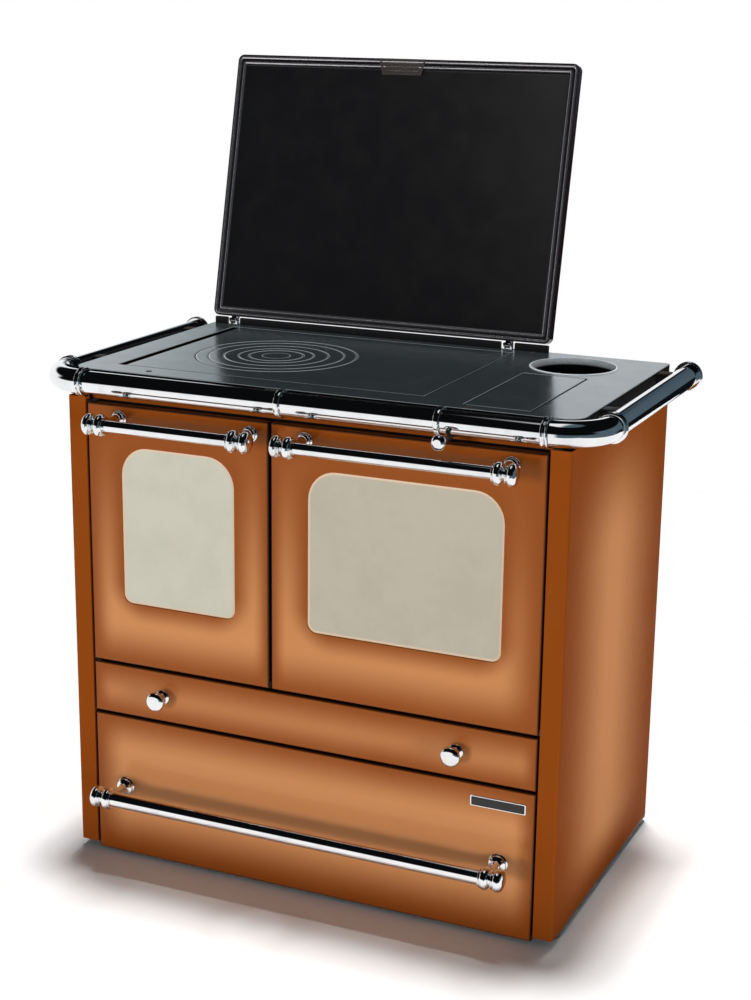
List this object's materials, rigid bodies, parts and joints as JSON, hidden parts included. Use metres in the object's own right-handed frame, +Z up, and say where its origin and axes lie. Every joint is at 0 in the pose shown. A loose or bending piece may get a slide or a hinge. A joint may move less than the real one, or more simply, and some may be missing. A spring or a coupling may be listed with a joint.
{
  "type": "wood cookstove",
  "caption": "Enamelled wood-burning cookstove with firebox and oven doors, ash and wood drawers, ringed hob, towel rail and hinged hob cover.",
  "frame": {"origin": "on the floor, under the middle of the stove's outline, cover open", "axes": "+X to the stove's right as seen from the front, +Y to its back, +Z up"},
  "size_m": [1.008, 0.7137, 1.355],
  "materials": {
    "enamel": "gloss vitreous enamel, shaded",
    "dark_enamel": "gloss black enamel",
    "dark_steel": "blackened steel",
    "zinc_sheet": "zinc-coated sheet",
    "oven_steel": "plain oven steel",
    "cast_iron": "matt black casting",
    "hob_iron": "ground and polished cast iron",
    "chrome": "polished chrome plate",
    "glass": "heat-proof glass",
    "rope": "woven glass-fibre rope",
    "firebrick": "rough refractory"
  },
  "bodies": {
    "stove": {"levelling_feet": "dark_steel", "base_frame": "dark_steel", "side_panel_left": "enamel", "side_panel_right": "enamel", "back_panel": "zinc_sheet", "back_screws": "zinc_sheet", "top_fascia": "dark_enamel", "front_frame": "cast_iron", "inner_liner": "zinc_sheet", "middle_deck": "dark_steel", "lower_shelf": "zinc_sheet", "firebox_shell": "cast_iron", "firebricks": "firebrick", "fire_grate": "cast_iron", "oven_box": "oven_steel", "rack_rails": "oven_steel", "oven_rack": "chrome", "baking_tray": "dark_enamel", "smoke_box": "dark_steel", "flue_collar": "dark_steel", "hob_frame": "hob_iron", "ring_plate": "hob_iron", "rail_tubes": "chrome", "rail_elbows": "chrome", "rail_collars": "chrome", "rail_brackets": "cast_iron", "cover_hinge_brackets": "chrome", "cover_hinge_pins": "chrome", "door_hinge_pins": "dark_steel", "drawer_runners": "dark_steel"},
    "cover": {"cover_shell": "dark_enamel", "cover_tray": "dark_enamel", "cover_pull": "chrome", "cover_hinge_leaves": "chrome"},
    "outer_ring": {"hob_ring_outer": "hob_iron"},
    "middle_ring": {"hob_ring_middle": "hob_iron"},
    "ring_lid": {"hob_disc": "hob_iron"},
    "firebox_door": {"firebox_door_skin": "enamel", "firebox_door_frame": "cast_iron", "firebox_door_glass": "glass", "firebox_door_seal": "rope", "firebox_handle_bar": "chrome", "firebox_handle_posts": "chrome"},
    "oven_door": {"oven_door_skin": "enamel", "oven_door_frame": "cast_iron", "oven_door_glass": "glass", "oven_door_seal": "rope", "oven_handle_bar": "chrome", "oven_handle_posts": "chrome"},
    "ash_drawer": {"ash_drawer_front": "enamel", "ash_drawer_box": "zinc_sheet", "ash_pan": "zinc_sheet", "ash_drawer_knobs": "chrome"},
    "wood_drawer": {"wood_drawer_front": "enamel", "wood_drawer_box": "zinc_sheet", "wood_handle_bar": "chrome", "wood_handle_posts": "chrome"},
    "damper": {"damper_gate": "dark_steel", "damper_knob": "chrome"}
  },
  "joints": [
    {"name": "cover_hinge", "type": "hinge", "parent": "stove", "child": "cover", "pos_m": [0, 0.22965, 0.8685], "axis": [-1, 0, 0], "range_deg": [-103, 0]},
    {"name": "outer_ring_lift", "type": "slide", "parent": "stove", "child": "outer_ring", "axis": [0, 0, 1], "range_m": [0, 0.06]},
    {"name": "middle_ring_lift", "type": "slide", "parent": "outer_ring", "child": "middle_ring", "axis": [0, 0, 1], "range_m": [0, 0.06]},
    {"name": "ring_lid_lift", "type": "slide", "parent": "middle_ring", "child": "ring_lid", "axis": [0, 0, 1], "range_m": [0, 0.06]},
    {"name": "firebox_door_hinge", "type": "hinge", "parent": "stove", "child": "firebox_door", "pos_m": [-0.397, -0.27385, 0.584], "axis": [0, 0, -1], "range_deg": [0, 100]},
    {"name": "oven_door_hinge", "type": "hinge", "parent": "stove", "child": "oven_door", "pos_m": [0.17075, -0.27385, 0.365], "axis": [1, 0, 0], "range_deg": [0, 90]},
    {"name": "ash_drawer_slide", "type": "slide", "parent": "stove", "child": "ash_drawer", "axis": [0, -1, 0], "range_m": [0, 0.33]},
    {"name": "wood_drawer_slide", "type": "slide", "parent": "stove", "child": "wood_drawer", "axis": [0, -1, 0], "range_m": [0, 0.4]},
    {"name": "damper_slide", "type": "slide", "parent": "stove", "child": "damper", "axis": [0, -1, 0], "range_m": [0, 0.06]}
  ]
}
